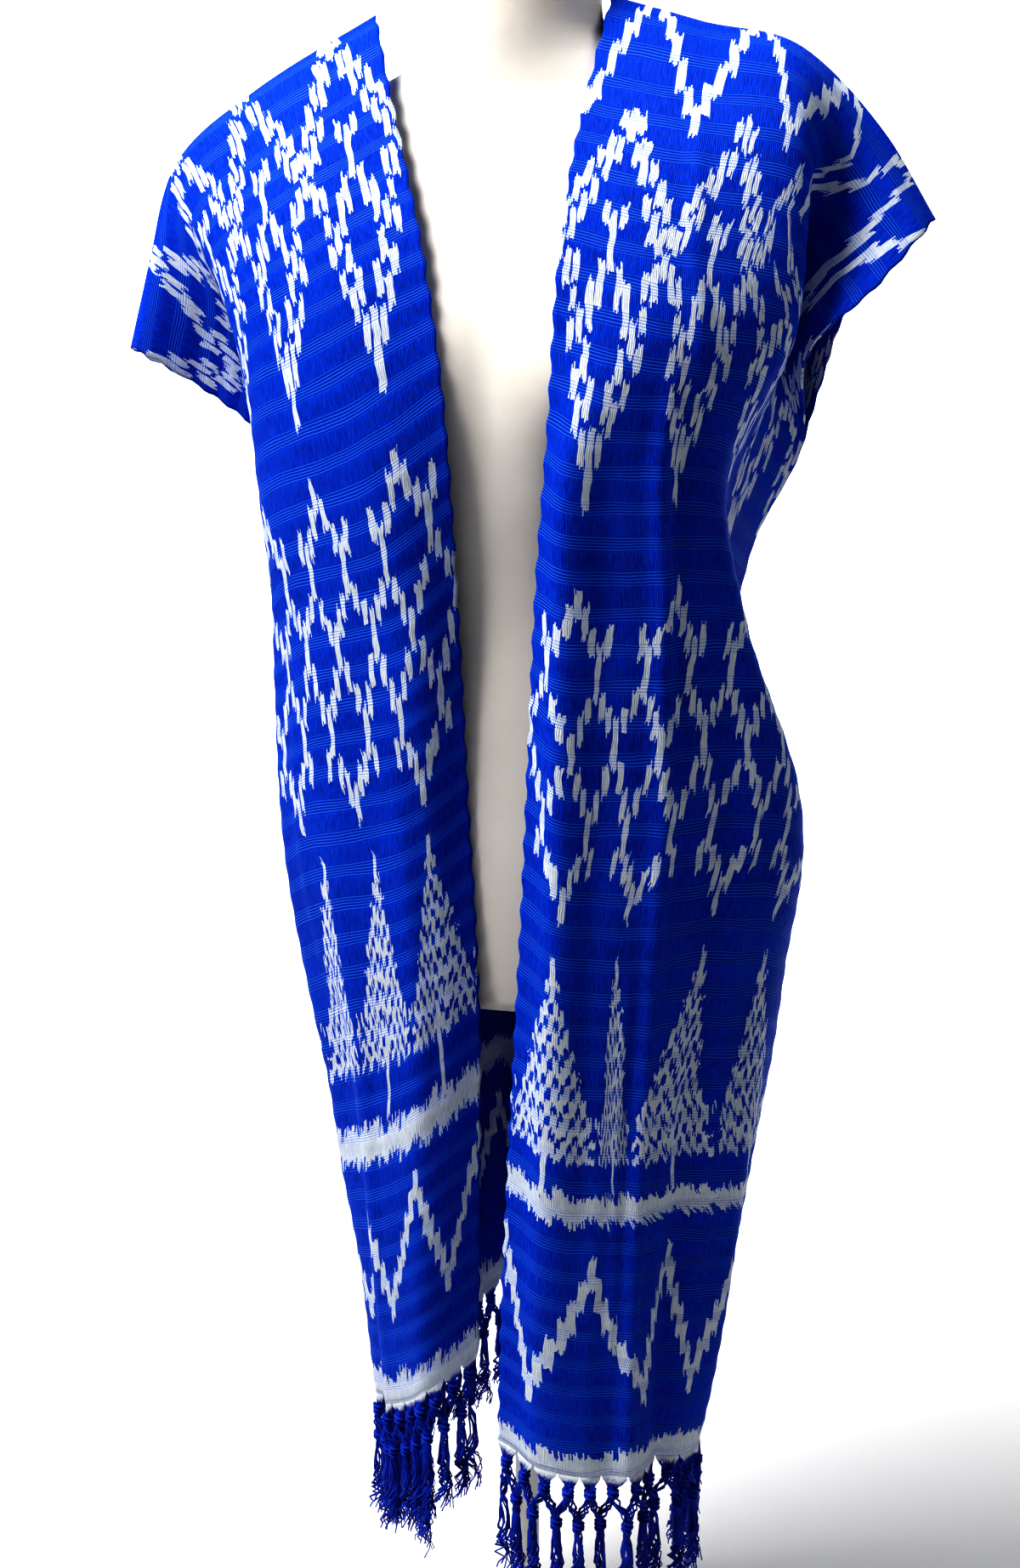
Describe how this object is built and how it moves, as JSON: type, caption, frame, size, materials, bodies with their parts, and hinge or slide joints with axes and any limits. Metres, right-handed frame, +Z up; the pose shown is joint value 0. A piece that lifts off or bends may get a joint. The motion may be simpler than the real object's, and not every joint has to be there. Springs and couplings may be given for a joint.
{
  "type": "ikat kimono on dress form",
  "caption": "Long open sleeveless ikat wrap cut like a kimono, with knotted fringe, worn by a limbless dress form on a pole and round base.",
  "frame": {"origin": "centre of the base's underside, on the floor under the pole", "axes": "+Z up along the pole; the wearer faces -Y, so the wearer's left is +X"},
  "size_m": [0.5845, 0.3391, 1.512],
  "materials": {
    "ikat_cloth": "warp-faced cotton, royal blue with undyed white ikat",
    "fringe": "loose blue cotton yarn, knotted",
    "form": "smooth cream, matt",
    "stand": "satin off-white paint"
  },
  "bodies": {
    "root": {"length_right": "ikat_cloth", "length_left": "ikat_cloth", "fringe_front_right": "fringe", "fringe_front_left": "fringe", "fringe_back_right": "fringe", "fringe_back_left": "fringe", "form_torso": "form", "form_collar": "stand", "stand_pole": "stand", "stand_base": "stand"}
  },
  "joints": []
}
